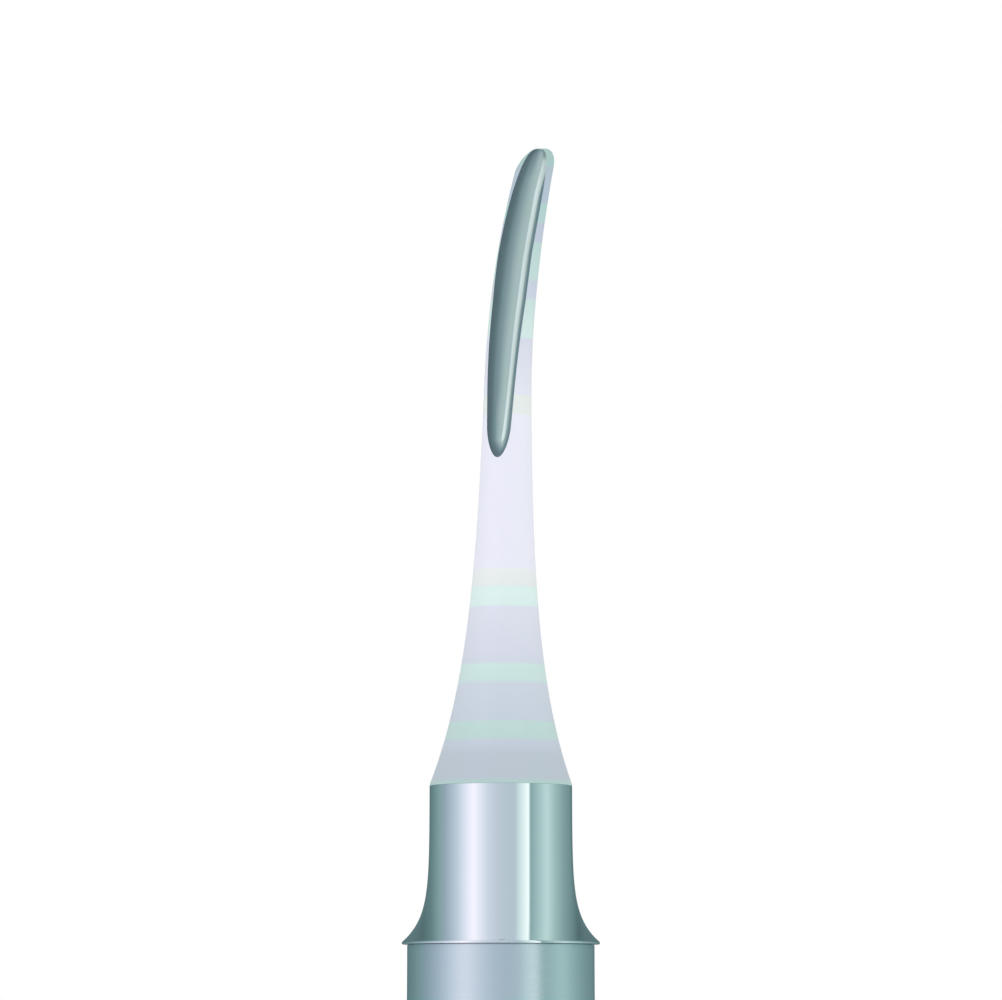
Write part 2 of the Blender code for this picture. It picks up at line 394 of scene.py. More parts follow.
@dataclass(frozen=True)
class ScoopSteelWithPaintedShade:
    """Hollow-ground stainless steel inside the scoop, with grinding lines along it.

    Its colour is painted shade, darker on the steep outer wall and at the heel, with a painted
    highlight as a bright line beside the inner edge and a dark rim of painted shade. The mesh
    carries where these lie, as an attribute: the tone's place, the bright line and the dark rim.
    """

    name: str
    metallic: float = 0.35
    grain: Grain = Grain(roughness=0.34, spread=0.07, depth=1.5e-6)
    painted_highlight: str = "#e9f7f3"
    # Colour of the painted shade along the scoop's inner rim.
    rim: str = "#7c99a3"
    line_count: float = 26.0
    lines_lengthwise: float = 300.0
    line_contrast: float = 0.05

    def make(self) -> Material:
        """Build the material.

        Returns:
            Ground steel with painted shade towards the scoop's outer wall and its heel.
        """
        material, tree, shader = start_material(self.name)
        shade = add_node(tree, "Attribute", {}, attribute_name=SHADE_ATTRIBUTE)
        parts = add_node(tree, "SeparateXYZ", {0: shade.outputs["Vector"]}).outputs
        # Grinding lines run along the scoop, so the noise is fine across it and long down it. Real
        # ones are 0.02 mm apart, which is too fine to show, so these are about four times coarser.
        across = add_node(tree, "Attribute", {}, attribute_name=ACROSS_ATTRIBUTE).outputs["Fac"]
        place = add_node(tree, "TexCoord", {}).outputs["Object"]
        height = add_node(tree, "SeparateXYZ", {0: place}).outputs["Z"]
        sheet = add_node(tree, "CombineXYZ", {"X": across, "Y": height})
        scale = (self.line_count, self.lines_lengthwise, 1.0)
        drawn = add_node(tree, "VectorMath", {0: sheet, 1: scale}, operation="MULTIPLY")
        lines = add_node(tree, "TexNoise", {"Vector": drawn, "Scale": 1.0, "Detail": 3.0})
        contrast = self.line_contrast
        varied = {0: lines, 1: contrast, 2: parts["X"]}
        tone = add_node(tree, "Math", varied, operation="MULTIPLY_ADD")
        centred = add_node(tree, "Math", {0: tone, 1: 0.5 * contrast}, operation="SUBTRACT")
        colour = add_node(tree, "ValToRGB", {"Fac": centred})
        fill_ramp(colour.color_ramp, SCOOP_PAINTED_SHADE_TONES)
        # The dark rim is painted shade and the bright line a painted highlight, laid over the
        # tones.
        for strength, tint in (parts["Z"], self.rim), (parts["Y"], self.painted_highlight):
            layers = {"Factor": strength, FIRST_COLOUR: colour, SECOND_COLOUR: linear(tint)}
            colour = add_node(tree, "Mix", layers, data_type="RGBA").outputs[MIXED_COLOUR]
        connect(tree, shader, {"Base Color": colour, "Metallic": self.metallic})
        self.grain.cut(tree, shader, lines)
        return material


@dataclass
class ScoopPoint:
    """A point of the ground scoop, and how much painted shade and painted highlight it gets.

    Its first place is a share across, from the outer edge at 0 to the inner edge at 1. The other
    three are in millimetres: in from the inner edge, below the scoop's tip, and above its heel.
    """

    across: float
    inward: float
    below: float
    above_heel: float
    tip_tone: float = 0.6
    tip_tone_gain: float = 0.2
    heel_lift: Climb = Climb(0.2, 0.2, 0.0, 0.08)
    heel_lift_end: Climb = Climb(2.4, 2.8, 1.0, 0.0)
    heel_tone_gain: float = 0.85
    heel_tone_drop: float = 0.055
    heel_tone_least: float = 0.22
    line_middle: float = 0.803
    line_drift: Climb = Climb(8.0, 3.0, 0.0, 0.01)
    line_tip_shift: Fade = Fade(0.22, 0.0, 3.2, 1.5)
    line_heel_shift: Fade = Fade(0.152, 1.2, 5.8, 2.0)
    line_outward: float = 0.067
    line_inward: float = 0.072
    line_tip_widening: Fade = Fade(0.9, 0.0, 3.6)
    line_heel_narrowing: float = 0.45
    line_narrowest: float = 0.3
    line_edge: Climb = Climb(0.6, 0.8, 1.0, 0.0)
    line_tip_end: Climb = Climb(0.35, 0.6)
    line_heel_end: Climb = Climb(0.95, 0.3)
    rim_width: float = 0.08
    rim_softness: float = 0.2
    rim_heel_widening: Fade = Fade(0.08, 0.0, 3.0)
    rim_gap: float = 1.25
    rim_gap_edge: Climb = Climb(0.15, 0.5, 0.1)
    rim_tip_strength: float = 0.55
    rim_heel_end: Climb = Climb(0.35, 0.35, 0.25)

    def tone(self) -> float:
        """Place the point in the scoop's painted shade, which runs darker at the tip and the heel.

        Returns:
            Its place, from 0 at the darkest.
        """
        tone = self.across * min(1.0, self.tip_tone + self.tip_tone_gain * self.below)
        tone += self.heel_lift.at(self.across) * self.heel_lift_end.at(self.above_heel)
        heel = self.heel_tone_gain * self.above_heel - self.heel_tone_drop
        return tone * min(1.0, max(self.heel_tone_least, heel))

    def line(self) -> float:
        """Find the painted highlight's strength; it leans inward at the tip and outward at the
        heel.

        Returns:
            The strength, from 0 to 1.
        """
        middle = self.line_middle + self.line_tip_shift.at(self.below)
        middle -= self.line_drift.at(self.below) + self.line_heel_shift.at(self.above_heel)
        reach = self.line_outward if self.across < middle else self.line_inward
        reach *= 1.0 + self.line_tip_widening.at(self.below)
        reach *= min(1.0, max(self.line_narrowest, self.above_heel - self.line_heel_narrowing))
        line = self.line_edge.at(abs(self.across - middle) / reach)
        return line * self.line_tip_end.at(self.below) * self.line_heel_end.at(self.above_heel)

    def rim(self) -> float:
        """Find the strength of the rim's painted shade; it all but stops for a gap just below the
        tip.

        Returns:
            The strength, from 0 to 1.
        """
        width = self.rim_width + self.rim_heel_widening.at(self.above_heel)
        rim = Climb(width, self.rim_softness, 1.0, 0.0).at(self.inward)
        rim *= self.rim_gap_edge.at(abs(self.below - self.rim_gap))
        rim *= self.rim_tip_strength if self.below < self.rim_gap else 1.0
        return rim * self.rim_heel_end.at(self.above_heel)


@dataclass
class TurnedPiece:
    """A round piece built ring by ring about the handle's axis."""

    name: str
    node: str
    slot: str
    profile: list[Ring]
    soft_rings: list[Ring]
    bored: bool = True
    edge_width: float = 0.1 * MM

    def build(self) -> Object:
        """Model the piece from a circle that is extruded and scaled for each step of its profile.

        Returns:
            The finished mesh object at the origin.
        """
        bpy.ops.object.select_all(action="DESELECT")
        radius, height = self.profile[0]
        bpy.ops.mesh.primitive_circle_add(vertices=SIDES, radius=radius, location=(0, 0, height))
        piece = bpy.context.object
        piece.name = self.name
        bpy.ops.object.transform_apply(location=True, rotation=True, scale=True)
        bpy.ops.object.mode_set(mode="EDIT")
        bpy.ops.mesh.select_all(action="SELECT")
        for next_radius, next_height in self.profile[1:]:
            step = (0.0, 0.0, next_height - height)
            bpy.ops.mesh.extrude_edges_move(TRANSFORM_OT_translate={"value": step})
            grow = (next_radius / radius, next_radius / radius, 1.0)
            bpy.ops.transform.resize(value=grow, center_override=(0.0, 0.0, next_height))
            radius, height = next_radius, next_height
        self.close()
        bpy.ops.mesh.select_all(action="SELECT")
        bpy.ops.mesh.normals_make_consistent(inside=False)
        bpy.ops.object.mode_set(mode="OBJECT")
        self.soften(piece)
        bpy.ops.object.shade_smooth_by_angle(angle=SHARP_ANGLE)
        return piece

    def close(self) -> None:
        """Close the two open rings, with a wall between them or with a cap on each."""
        bpy.ops.mesh.select_all(action="SELECT")
        bpy.ops.mesh.select_non_manifold(extend=False)
        if self.bored:
            bpy.ops.mesh.bridge_edge_loops()
        else:
            bpy.ops.mesh.fill_holes(sides=0)

    def soften(self, piece: Object) -> None:
        """Round the rings that the hand would feel as sharp edges.

        Args:
            piece: The piece, in object mode and active.
        """
        mesh: Mesh = piece.data
        bpy.ops.object.mode_set(mode="EDIT")
        bpy.ops.mesh.select_mode(type="EDGE")
        bpy.ops.mesh.select_all(action="DESELECT")
        bpy.ops.object.mode_set(mode="OBJECT")
        for edge in mesh.edges:
            ends = [mesh.vertices[i].co for i in edge.vertices]
            edge.select = any(
                all(math.dist((math.hypot(end.x, end.y), end.z), ring) < SAME_PLACE for end in ends)
                for ring in self.soft_rings
            )
        bpy.ops.object.mode_set(mode="EDIT")
        bpy.ops.mesh.bevel(offset=self.edge_width, segments=BEVEL_STEPS, affect="EDGES")
        bpy.ops.object.mode_set(mode="OBJECT")


@dataclass
class HandleSizes:
    """Sizes of the handle and collar, repeated from the part's own driving dimensions."""

    tube_base: float
    tube_top: float
    collar_base: float
    collar_top: float
    tube_wall: float = 1.0 * MM
    foot_radius: float = 7.3 * MM
    belly_radius: float = 7.9 * MM
    mouth_radius: float = 6.1 * MM
    belly_height: float = 28.0 * MM
    plug_flat_radius: float = 6.2 * MM
    plug_height: float = 3.5 * MM
    plug_spigot_length: float = 7.0 * MM
    collar_spigot_length: float = 8.0 * MM
    neck_radius: float = 4.65 * MM
    flare_reach: float = 1.8 * MM
    flare_decay: float = 1.52 * MM
    rim_land: float = 0.15 * MM
    tang_radius: float = 2.5 * MM
    clearance: float = 0.1 * MM
    seam_closing: float = 0.09 * MM
    edge_support: float = 0.3 * MM
    tube_steps: int = 72
    plug_steps: int = 20
    collar_steps: int = 56
    collar_crowding: float = 1.6

    def tube_radius(self, height: float) -> float:
        """Outer radius of the tube.

        Args:
            height: Height above the tube's foot.

        Returns:
            The radius.
        """
        if height < self.belly_height:
            return ease(self.foot_radius, self.belly_radius, height / self.belly_height)
        upper = (height - self.belly_height) / (self.tube_top - self.tube_base - self.belly_height)
        return ease(self.belly_radius, self.mouth_radius, upper)

    def tube_profile(self) -> list[Ring]:
        """Draw the outline of the tube's wall.

        Returns:
            Its rings, up the outside and down the bore.
        """
        length = self.tube_top - self.tube_base
        heights = [length * i / self.tube_steps for i in range(self.tube_steps + 1)]
        heights = sorted(heights + [self.edge_support, length - self.edge_support])
        outside = [(self.tube_radius(height), self.tube_base + height) for height in heights]
        outside[-1] = (outside[-1][0], self.tube_top + self.seam_closing)
        inside = [(radius - self.tube_wall, height) for radius, height in reversed(outside)]
        return outside + inside

    def plug_profile(self) -> list[Ring]:
        """Draw the outline of the plug.

        Returns:
            Its rings, from the rim of the flat foot to the rim of the spigot's end.
        """
        edge = self.foot_radius - self.plug_flat_radius
        outline = []
        for i in range(self.plug_steps + 1):
            angle = 0.5 * math.pi * i / self.plug_steps
            radius = self.plug_flat_radius + edge * math.sin(angle)
            outline.append((radius, self.plug_height * (1.0 - math.cos(angle))))
        shoulder = self.plug_height + self.seam_closing
        spigot = self.foot_radius - self.tube_wall - self.clearance
        top = self.plug_height + self.plug_spigot_length
        return outline + [(self.foot_radius, shoulder), (spigot, shoulder), (spigot, top)]

    def collar_radius(self, height: float) -> float:
        """Outer radius of the collar at a height above its rim."""
        climb = max(0.0, height - self.rim_land)
        return self.neck_radius + self.flare_reach * math.exp(-climb / self.flare_decay)

    def collar_profile(self) -> list[Ring]:
        """Draw the outline of the collar, whose rings lie closer together towards its rim.

        Returns:
            Its rings, from the spigot's bore out, up the bell and in to the bore.
        """
        bore = self.tang_radius + self.clearance
        spigot = self.mouth_radius - self.tube_wall - self.clearance
        foot = self.collar_base - self.collar_spigot_length
        outline = [(bore, foot), (spigot, foot), (spigot, self.collar_base)]
        outline.append((self.collar_radius(0.0), self.collar_base))
        span = self.collar_top - self.collar_base - self.rim_land
        for i in range(self.collar_steps + 1):
            height = self.rim_land + span * (i / self.collar_steps) ** self.collar_crowding
            outline.append((self.collar_radius(height), self.collar_base + height))
        return outline + [(bore, self.collar_top)]


@dataclass
class WorkingEnd:
    """Tang, flared neck, slender shank and bent blade, with the scoop ground into its face."""

    seat: float
    length: float
    slots: list[Material]
    neck_radius: float = 4.65 * MM
    shank_radius: float = 1.4 * MM
    neck_decay: float = 8.7 * MM
    lean: float = 0.0172
    tang_radius: float = 2.5 * MM
    tang_length: float = 24.0 * MM
    tang_chamfer: float = 0.4 * MM
    bend_length: float = 16.6 * MM
    bend_radius: float = 77.0 * MM
    taper_length: float = 10.8 * MM
    tip_half_width: float = 1.18 * MM
    tip_half_thickness: float = 0.56 * MM
    tip_rounding: float = 1.4 * MM
    tip_end_half_width: float = 0.5 * MM
    tip_squareness: float = 2.7
    corner_rounding: float = 1.6 * MM
    corner_half_width: float = 0.26 * MM
    corner_squareness: float = 1.7
    edge_rounding: float = 0.9 * MM
    edge_half_thickness: float = 0.15 * MM
    flatten_length: float = 27.0 * MM
    face_squareness: float = 5.0
    back_straightness: float = 0.6
    scoop_length: float = 20.6 * MM
    scoop_rim: float = 0.06 * MM
    outer_land: float = 0.09 * MM
    inner_land: float = 0.6 * MM
    scoop_widest: float = 8.1 * MM
    scoop_tip_squareness: float = 3.0
    scoop_taper: float = 0.38
    scoop_taper_power: float = 1.5
    scoop_heel_rounding: float = 2.1 * MM
    depth_share: float = 0.6
    heel_offset: float = 0.59 * MM
    heel_drift: float = 10.5 * MM
    tip_offset: float = 0.02 * MM
    tip_drift: float = 7.0 * MM
    seam_closing: float = 0.09 * MM
    outer_columns: int = 10
    scoop_columns: int = 56
    inner_columns: int = 18
    back_columns: int = 76
    shank_rows: int = 90
    scoop_rows: int = 190
    column_spread: float = 0.5
    column_spread_length: float = 0.3

    def centre_x(self, height: float) -> float:
        """Sideways place of the centre line at a height above the seat."""
        beyond = max(0.0, height - (self.length - self.bend_length))
        return self.lean * height + self.bend_radius - math.sqrt(self.bend_radius**2 - beyond**2)

    def half_width(self, height: float) -> float:
        """Half-width seen from the front, without the tip's rounding.

        Args:
            height: Height above the seat.

        Returns:
            The half-width.
        """
        sweep = math.exp(-height / self.neck_decay)
        width = self.shank_radius + (self.neck_radius - self.shank_radius) * sweep
        taper = max(0.0, height - (self.length - self.taper_length)) / self.taper_length
        return width + (self.tip_half_width - width) * taper**2

    def flatness(self, height: float) -> float:
        """How far the round shank has become the flat blade, from 0 to 1."""
        return ease(0.0, 1.0, 1.0 - (self.length - height) / self.flatten_length)

    def narrowed(self, height: float, span: float, end_share: float, squareness: float) -> float:
        """Share of a size that the rounded tip leaves at a height.

        Args:
            height: Height above the seat.
            span: Length of the rounding, down from the tip.
            end_share: Share that is left at the tip itself.
            squareness: Squareness of the rounding.

        Returns:
            1 below the rounding, and end_share at the tip.
        """
        last = rounded(end_share, squareness)
        return rounded(last * (1.0 - (self.length - height) / span), squareness)

    def section(self, height: float) -> tuple[float, float, float, float, float]:
        """Section at a height above the seat.

        Args:
            height: Height above the seat.

        Returns:
            Centre x, centre y, half-width, half-thickness and the face's squareness.
        """
        width = self.half_width(height)
        flatness = self.flatness(height)
        thickness = width + (self.tip_half_thickness - width) * flatness
        centre_y = self.back_straightness * (width - thickness)
        end_share = self.tip_end_half_width / self.tip_half_width
        width *= self.narrowed(height, self.tip_rounding, end_share, self.tip_squareness)
        end_share = self.edge_half_thickness / self.tip_half_thickness
        thickness *= self.narrowed(height, self.edge_rounding, end_share, 2.0)
        squareness = 2.0 + (self.face_squareness - 2.0) * flatness
        return self.centre_x(height), centre_y, width, thickness, squareness

    def outer_half_width(self, height: float) -> float:
        """Half-width on the outer side, where the tip's corner is ground off further down.

        Args:
            height: Height above the seat.

        Returns:
            The half-width.
        """
        end_share = self.corner_half_width / self.tip_half_width
        corner = self.narrowed(height, self.corner_rounding, end_share, self.corner_squareness)
        return min(self.section(height)[2], self.half_width(height) * corner)

    def scoop_edges(self, height: float) -> tuple[float, float]:
        """Sideways places of the scoop's edges, from the section's centre.

        Args:
            height: Height above the seat.

        Returns:
            Outer and inner edge. They meet at the scoop's ends and stay together above it. Below
            it they part again, which spreads the mesh's columns evenly round the shank.
        """
        top = self.length - self.scoop_rim
        below = top - height
        middle = 0.5 * (self.inner_land - self.outer_land)
        middle += (self.tip_offset - middle) * max(0.0, 1.0 - below / self.tip_drift)
        to_heel = 1.0 - (self.scoop_length - below) / self.heel_drift
        middle += (self.heel_offset - middle) * min(1.0, max(0.0, to_heel))
        full = self.half_width(top - self.scoop_widest) - 0.5 * (self.outer_land + self.inner_land)
        if below < self.scoop_widest:
            half = full * rounded(1.0 - below / self.scoop_widest, self.scoop_tip_squareness)
        else:
            share = (below - self.scoop_widest) / (self.scoop_length - self.scoop_widest)
            half = full * (1.0 - self.scoop_taper * min(1.0, share) ** self.scoop_taper_power)
            half *= rounded(1.0 - (self.scoop_length - below) / self.scoop_heel_rounding, 2.0)
        if below > self.scoop_length:
            gone = (below - self.scoop_length) / (self.column_spread_length * self.scoop_length)
            half = self.column_spread * self.half_width(height) * ease(0.0, 1.0, gone)
            middle = ease(self.heel_offset, 0.0, gone)
        return -middle - half, -middle + half

    def face_angle(self, across: float, width: float, squareness: float) -> float:
        """Angle on the face's half of a section at a sideways place, from pi to 2 pi."""
        share = min(1.0, abs(across) / width)
        return 2.0 * math.pi - math.acos(math.copysign(share ** (0.5 * squareness), across))

    def scoop_arc(self, left: Vector, right: Vector, share: float, half: float) -> Vector:
        """Point on the scoop's arc between its two edges.

        Args:
            left: Outer edge.
            right: Inner edge.
            share: How far across, from 0 to 1.
            half: The scoop's half-width, which sets its depth.

        Returns:
            The point, sunk into the face.
        """
        chord = (right - left).length
        depth = self.depth_share * half
        if chord < NOTHING or depth < NOTHING:
            return left.lerp(right, share)
        radius = ((0.5 * chord) ** 2 + depth**2) / (2.0 * depth)
        spread = math.asin(min(1.0, 0.5 * chord / radius))
        angle = spread * (2.0 * share - 1.0)
        along = (right - left) / chord
        inward = Vector((-along.y, along.x))
        sag = radius * math.cos(angle) - (radius - depth)
        return 0.5 * (left + right) + along * (radius * math.sin(angle)) + inward * sag

    def ring(self, height: float) -> list[Vector]:
        """Points round one section: the face from its outer side to its inner side, then the back.

        Args:
            height: Height above the seat.

        Returns:
            The ring's points, the first one repeated at the end.
        """
        x, y, width, thickness, squareness = self.section(height)
        outer_width = self.outer_half_width(height)
        left, right = self.scoop_edges(height)
        left_angle = self.face_angle(left, outer_width, squareness)
        right_angle = self.face_angle(right, width, squareness)
        outer = outer_width / width
        power = 2.0 / squareness

        def sideways(share: float) -> float:
            """Sideways place at a share of the half-width, which is less on the outer side."""
            return x + width * share * (outer if share < 0.0 else 1.0)

        def on_face(angle: float) -> Vector:
            """Point on the face's half of the section, at an angle from pi to 2 pi."""
            share = math.copysign(abs(math.cos(angle)) ** power, math.cos(angle))
            return Vector((sideways(share), y - thickness * abs(math.sin(angle)) ** power))

        below = self.length - self.scoop_rim - height
        in_scoop = 0.0 < below < self.scoop_length
        points = []
        for i in range(self.outer_columns):
            points.append(on_face(math.pi + (left_angle - math.pi) * i / self.outer_columns))
        edges = on_face(left_angle), on_face(right_angle)
        for i in range(self.scoop_columns):
            share = i / self.scoop_columns
            if in_scoop:
                points.append(self.scoop_arc(*edges, share, 0.5 * (right - left)))
            else:
                points.append(on_face(left_angle + (right_angle - left_angle) * share))
        for i in range(self.inner_columns):
            rest = 2.0 * math.pi - right_angle
            points.append(on_face(right_angle + rest * i / self.inner_columns))
        for i in range(self.back_columns + 1):
            angle = math.pi * i / self.back_columns
            points.append(Vector((sideways(math.cos(angle)), y + thickness * math.sin(angle))))
        return [Vector((point.x, point.y, self.seat + height)) for point in points]

    def heights(self) -> list[float]:
        """Find the heights of the rings, close together at the scoop's ends and the tip.

        Returns:
            Heights above the seat, in rising order.
        """
        top = self.length - self.scoop_rim
        heel = top - self.scoop_length
        shank = [heel * i / self.shank_rows for i in range(self.shank_rows)]
        shares = [i / self.scoop_rows for i in range(self.scoop_rows + 1)]
        scoop = [heel + ease(0.0, self.scoop_length, share) for share in shares]
        return shank + scoop + [top + 0.5 * self.scoop_rim, self.length]

    def build(self) -> Object:
        """Model the working end from a sheet that is rolled round its sections and closed.

        Returns:
            The finished mesh object at the origin.
        """
        columns = self.outer_columns + self.scoop_columns + self.inner_columns + self.back_columns
        heights = self.heights()
        rings = [self.ring(height) for height in heights]
        foot = rings[0]
        tang = []
        for radius, height in (
            (self.tang_radius - self.tang_chamfer, -self.tang_length),
            (self.tang_radius, self.tang_chamfer - self.tang_length),
            (self.tang_radius, -self.seam_closing),
            (self.neck_radius, -self.seam_closing),
        ):
            shrink = radius / self.neck_radius
            tang.append([Vector((p.x * shrink, p.y * shrink, self.seat + height)) for p in foot])
        rings = tang + rings
        rows = len(rings) - 1
        bpy.ops.object.select_all(action="DESELECT")
        bpy.ops.mesh.primitive_grid_add(x_subdivisions=columns, y_subdivisions=rows, size=MM)
        piece = bpy.context.object
        piece.name = "working_end_forging"
        mesh: Mesh = piece.data
        places = [value for ring in rings for point in ring for value in point]
        mesh.vertices.foreach_set("co", places)
        self.mark_scoop(mesh, columns, len(tang), heights)
        mesh.update()
        bpy.ops.object.mode_set(mode="EDIT")
        bpy.ops.mesh.select_all(action="SELECT")
        bpy.ops.mesh.remove_doubles(threshold=MERGE_DISTANCE)
        bpy.ops.mesh.select_all(action="DESELECT")
        bpy.ops.mesh.select_non_manifold()
        bpy.ops.mesh.fill_holes(sides=0)
        bpy.ops.mesh.select_all(action="SELECT")
        bpy.ops.mesh.normals_make_consistent(inside=False)
        bpy.ops.object.mode_set(mode="OBJECT")
        bpy.ops.object.shade_smooth_by_angle(angle=SHARP_ANGLE)
        return piece

    def share_of_width(self, share: float) -> float:
        """Turn a share of the scoop's arc to the share of its width, as seen from the front."""
        spread = 2.0 * math.atan(self.depth_share)
        return 0.5 + 0.5 * math.sin(spread * (2.0 * share - 1.0)) / math.sin(spread)

    def shade(self, share: float, height: float) -> tuple[float, float, float]:
        """Where a point of the scoop lies in its painted shade.

        Args:
            share: How far across the scoop, from its outer edge at 0 to its inner edge at 1.
            height: Height above the seat.

        Returns:
            Place in the painted shade, strength of the painted highlight and of the painted dark
            rim.
        """
        below = (self.length - self.scoop_rim - height) / MM
        above_heel = self.scoop_length / MM - below
        left, right = self.scoop_edges(height)
        inward = (1.0 - share) * (right - left) / MM
        point = ScoopPoint(share, inward, below, above_heel)
        return point.tone(), point.line(), point.rim()

    def mark_scoop(self, mesh: Mesh, columns: int, skipped: int, heights: list[float]) -> None:
        """Give the scoop's faces the second material, and its points their place and painted shade
        in it.

        Args:
            mesh: The sheet, before its seam is merged.
            columns: Faces round one row.
            skipped: Rings of the tang, below the first height.
            heights: Heights of the other rings.
        """
        top = self.length - self.scoop_rim
        heel = top - self.scoop_length
        first, last = self.outer_columns, self.outer_columns + self.scoop_columns
        across = [0.0] * len(mesh.vertices)
        shades = [0.0] * (3 * len(mesh.vertices))
        for row, height in enumerate(heights, start=skipped):
            inside = heel - NOTHING <= height <= top + NOTHING
            for column in range(first, last + 1):
                point = row * (columns + 1) + column
                across[point] = self.share_of_width((column - first) / self.scoop_columns)
                if inside:
                    shades[3 * point : 3 * point + 3] = self.shade(across[point], height)
        mesh.attributes.new(ACROSS_ATTRIBUTE, "FLOAT", "POINT").data.foreach_set("value", across)
        shade = mesh.attributes.new(SHADE_ATTRIBUTE, "FLOAT_VECTOR", "POINT")
        shade.data.foreach_set("vector", shades)
        slots = [0] * len(mesh.polygons)
        for row, (low, high) in enumerate(zip(heights, heights[1:])):
            if heel - NOTHING <= low and high <= top + NOTHING:
                for column in range(first, last):
                    slots[(row + skipped) * columns + column] = 1
        for material in self.slots:
            mesh.materials.append(material)
        mesh.polygons.foreach_set("material_index", slots)


@dataclass
class Studio:
    """White studio: pale floor, strip lights that the steel reflects, and the long-lens camera."""

    aim_height: float
    lens: float = 200.0
    sensor: float = 36.0
    field_width: float = 65.72 * MM
    elevation: float = -5.5
    side_shift: float = 0.01 * MM
    floor_radius: float = 1.5
    floor_sides: int = 96
    strip_strength: float = 1.22
    closing_in: float = 0.34
    widest_place: float = 1.4
    fading_slopes: Span = (1.3, 1.9)
    overhead: str = "#8a9fa4"
    wall_spread: float = 0.35
    wall_edge: Span = (0.86, 0.99)
    back_wall: str = "#587275"

    def place_on_collar(self, tree: NodeTree, direction: NodeSocket) -> tuple[Node, Node]:
        """Find where the front of a round collar would mirror a direction, in its radii.

        The strips run up and over from a point behind the object and close in overhead, so that
        a bell's flare mirrors them as straight lines, as its wall does.

        Args:
            tree: The world's node tree.
            direction: The direction looked at.

        Returns:
            The nodes that give the place, 0 at the middle of the collar and -1 and 1 at its
            sides, and how steep a surface has to be to mirror the direction, as a slope.
        """
        halfway = add_node(tree, "VectorMath", {0: direction, 1: AWAY}, operation="SUBTRACT")
        level = add_node(tree, "VectorMath", {0: halfway, 1: LEVEL}, operation="MULTIPLY")
        reach = add_node(tree, "VectorMath", {0: level}, operation="LENGTH").outputs["Value"]
        parts = add_node(tree, "SeparateXYZ", {0: halfway}).outputs
        sideways = add_node(tree, "Math", {0: parts["X"], 1: reach}, operation="DIVIDE")
        slope = add_node(tree, "Math", {0: parts["Z"], 1: reach}, operation="DIVIDE")
        rise = add_node(tree, "Math", {0: slope, 1: 0.0}, operation="MAXIMUM")
        closing = {0: rise, 1: self.closing_in, 2: 1.0}
        widening = add_node(tree, "Math", closing, operation="MULTIPLY_ADD")
        place = add_node(tree, "Math", {0: sideways, 1: widening}, operation="MULTIPLY")
        return place, add_node(tree, "Math", {0: slope}, operation="ABSOLUTE")

    def make_world(self) -> None:
        """Light the object evenly, and give what is glossy the strip lights to reflect."""
        world = bpy.data.worlds.new("white_studio")
        world.use_nodes = True
        tree = world.node_tree
        tree.nodes.clear()
        direction = add_node(tree, "TexCoord", {}).outputs["Generated"]
        place, slope = self.place_on_collar(tree, direction)
        widest = self.widest_place
        turn = add_node(tree, "MapRange", {"Value": place, "From Min": -widest, "From Max": widest})
        colour = add_node(tree, "ValToRGB", {"Fac": turn})
        fill_ramp(colour.color_ramp, [(0.5 + 0.5 * side / widest, tint) for side, tint in STRIPS])
        # The strips would all meet behind the object, so they fade out well before that, and a
        # dark wall stands there instead.
        parts = add_node(tree, "SeparateXYZ", {0: direction}).outputs
        height = add_node(tree, "Math", {0: parts["Z"]}, operation="ABSOLUTE")
        spread = {0: height, 1: self.wall_spread, 2: parts["Y"]}
        behind = add_node(tree, "Math", spread, operation="MULTIPLY_ADD")
        for value, (low, high), tint in (
            (slope, self.fading_slopes, self.overhead), (behind, self.wall_edge, self.back_wall)
        ):
            edge = {"Value": value, "From Min": low, "From Max": high}
            share = add_node(tree, "MapRange", edge, interpolation_type="SMOOTHSTEP")
            layers = {"Factor": share, FIRST_COLOUR: colour, SECOND_COLOUR: linear(tint)}
            colour = add_node(tree, "Mix", layers, data_type="RGBA").outputs[MIXED_COLOUR]
        lit = add_node(tree, "Background", {"Color": colour, "Strength": self.strip_strength})
        plain = add_node(tree, "Background", {"Color": linear(WHITE), "Strength": 1.0})
        glossy = add_node(tree, "LightPath", {}).outputs["Is Glossy Ray"]
        chosen = add_node(tree, "MixShader", {0: glossy, 1: plain, 2: lit})
        add_node(tree, "OutputWorld", {"Surface": chosen})
        bpy.context.scene.world = world
        bpy.context.scene.view_settings.view_transform = "Standard"

    def make_floor(self) -> None:
        """Lay the pale floor under the butt."""
        bpy.ops.object.select_all(action="DESELECT")
        bpy.ops.mesh.primitive_circle_add(
            vertices=self.floor_sides, radius=self.floor_radius, fill_type="NGON"
        )
        floor = bpy.context.object
        floor.name = "studio_floor"
        material, tree, shader = start_material("white_studio_paper")
        matt = {"Base Color": linear(WHITE), "Roughness": 1.0, "Specular IOR Level": 0.0}
        connect(tree, shader, matt)
        floor.data.materials.append(material)
        # Seen by the steel, the sheet would hide the lower ends of the strip lights.
        floor.visible_glossy = False

    def make_camera(self) -> None:
        """Place the camera in front of the working end, looking slightly up."""
        data = bpy.data.cameras.new("long_lens")
        data.lens = self.lens
        data.sensor_width = self.sensor
        data.clip_start = 0.01
        data.clip_end = 20.0
        camera = bpy.data.objects.new("camera", data)
        bpy.context.scene.collection.objects.link(camera)
        distance = self.field_width * self.lens / self.sensor
        tilt = math.radians(self.elevation)
        target = Vector((self.side_shift, 0.0, self.aim_height))
        camera.location = target + distance * Vector((0.0, -math.cos(tilt), math.sin(tilt)))
        camera.rotation_euler = (math.radians(90.0) - tilt, 0.0, 0.0)
        bpy.context.scene.camera = camera


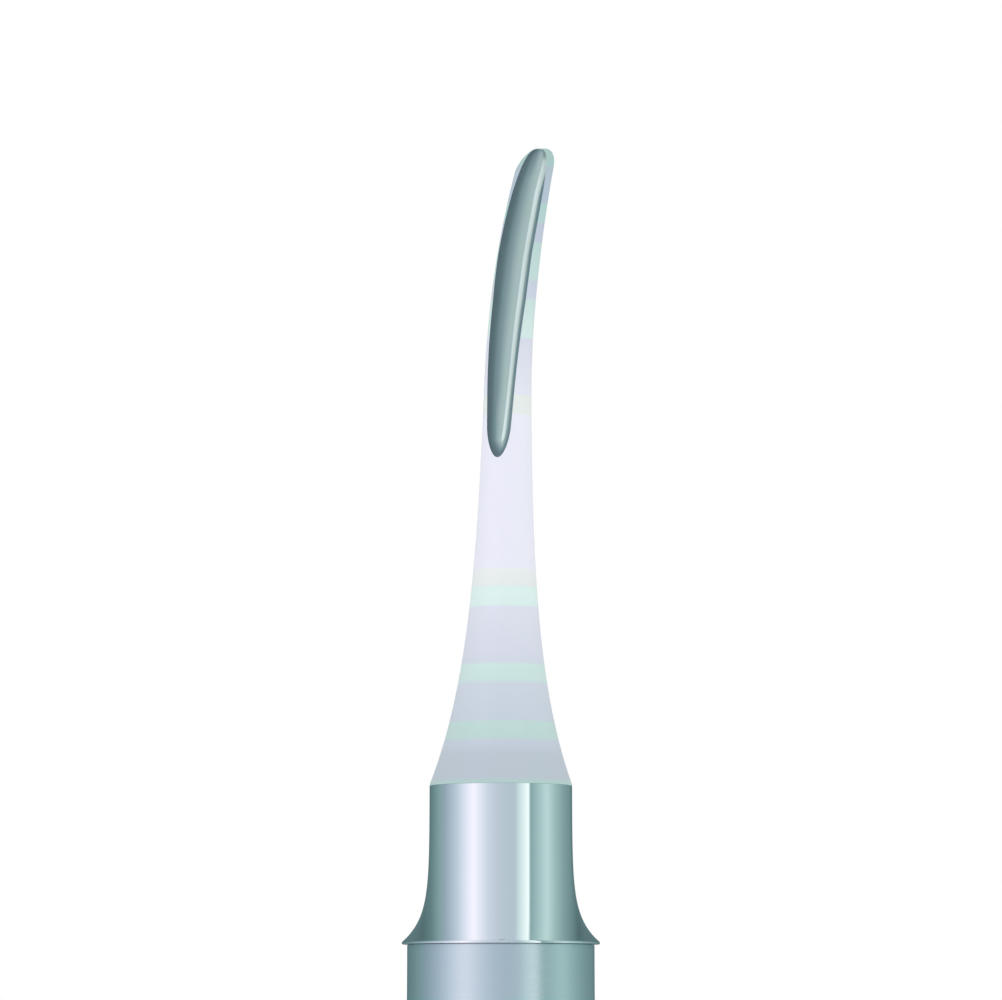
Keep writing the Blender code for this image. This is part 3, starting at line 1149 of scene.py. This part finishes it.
class Elevator:
    """The whole instrument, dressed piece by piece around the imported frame."""

    def __init__(self) -> None:
        """Read the heights of the pieces from the frame."""
        tube, collar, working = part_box("handle_tube"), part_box("collar"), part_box("working_end")
        self.sizes = HandleSizes(
            tube_base=tube[0].z,
            tube_top=tube[1].z,
            collar_base=collar[0].z + HandleSizes.collar_spigot_length,
            collar_top=collar[1].z,
        )
        self.seat = working[0].z + WorkingEnd.tang_length
        self.tip = working[1].z

    def keep(self, piece: Object, node: str) -> None:
        """Let a finished piece stand for its CAD node.

        Args:
            piece: The finished piece.
            node: The CAD node that it replaces.
        """
        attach(piece, ROOT_BODY)
        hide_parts(node)
        LOG.info("%s stands for %s with %d faces", piece.name, node, len(piece.data.polygons))

    def add_turned(self, turned: TurnedPiece, steel: TurnedSteel) -> None:
        """Build, dress and keep a turned piece.

        Args:
            turned: The piece.
            steel: Its finish.
        """
        piece = turned.build()
        piece.data.materials.append(steel.make())
        self.keep(piece, turned.node)

    def add_working_end(self) -> None:
        """Build and dress the forging."""
        satin = SatinSteelWithPaintedReflections("satin_stainless_steel_painted_reflections", self.seat, self.tip)
        ground = ScoopSteelWithPaintedShade("hollow_ground_steel_painted_shade")
        forging = WorkingEnd(self.seat, self.tip - self.seat, [satin.make(), ground.make()])
        self.keep(forging.build(), "working_end")

    def add_collar(self) -> None:
        """Build and dress the bell collar."""
        sizes = self.sizes
        rim = sizes.collar_radius(0.0)
        self.add_turned(
            TurnedPiece(
                "bell_collar", "collar", "collar_steel", sizes.collar_profile(),
                soft_rings=[(rim, sizes.collar_base), (rim, sizes.collar_base + sizes.rim_land)],
                edge_width=0.05 * MM,
            ),
            TurnedSteel("mirror_polished_stainless_steel", "#e9eaeb", Polish.MIRROR, 0.07),
        )

    def add_handle(self) -> None:
        """Build and dress the handle's tube and its plug."""
        sizes = self.sizes
        tube_ends = [
            (sizes.foot_radius, sizes.tube_base),
            (sizes.mouth_radius, sizes.tube_top + sizes.seam_closing),
        ]
        self.add_turned(
            TurnedPiece(
                "handle_shell", "handle_tube", "handle_steel", sizes.tube_profile(), tube_ends
            ),
            TurnedSteel("satin_turned_stainless_steel", "#cfd8dc", Polish.SATIN, 0.28),
        )
        shoulder = [(sizes.foot_radius, sizes.plug_height + sizes.seam_closing)]
        self.add_turned(
            TurnedPiece(
                "butt_cap", "butt_plug", "plug_steel", sizes.plug_profile(), shoulder, bored=False
            ),
            TurnedSteel("polished_plug_stainless_steel", "#dfe6ea", Polish.MIRROR, 0.14),
        )


def main() -> None:
    """Build the instrument, the studio and the camera."""
    logging.basicConfig(level=logging.INFO, format="%(message)s")
    elevator = Elevator()
    elevator.add_working_end()
    elevator.add_collar()
    elevator.add_handle()
    studio = Studio(aim_height=elevator.sizes.collar_top + AIM_ABOVE_COLLAR)
    studio.make_world()
    studio.make_floor()
    studio.make_camera()


if __name__ == "__main__":
    main()
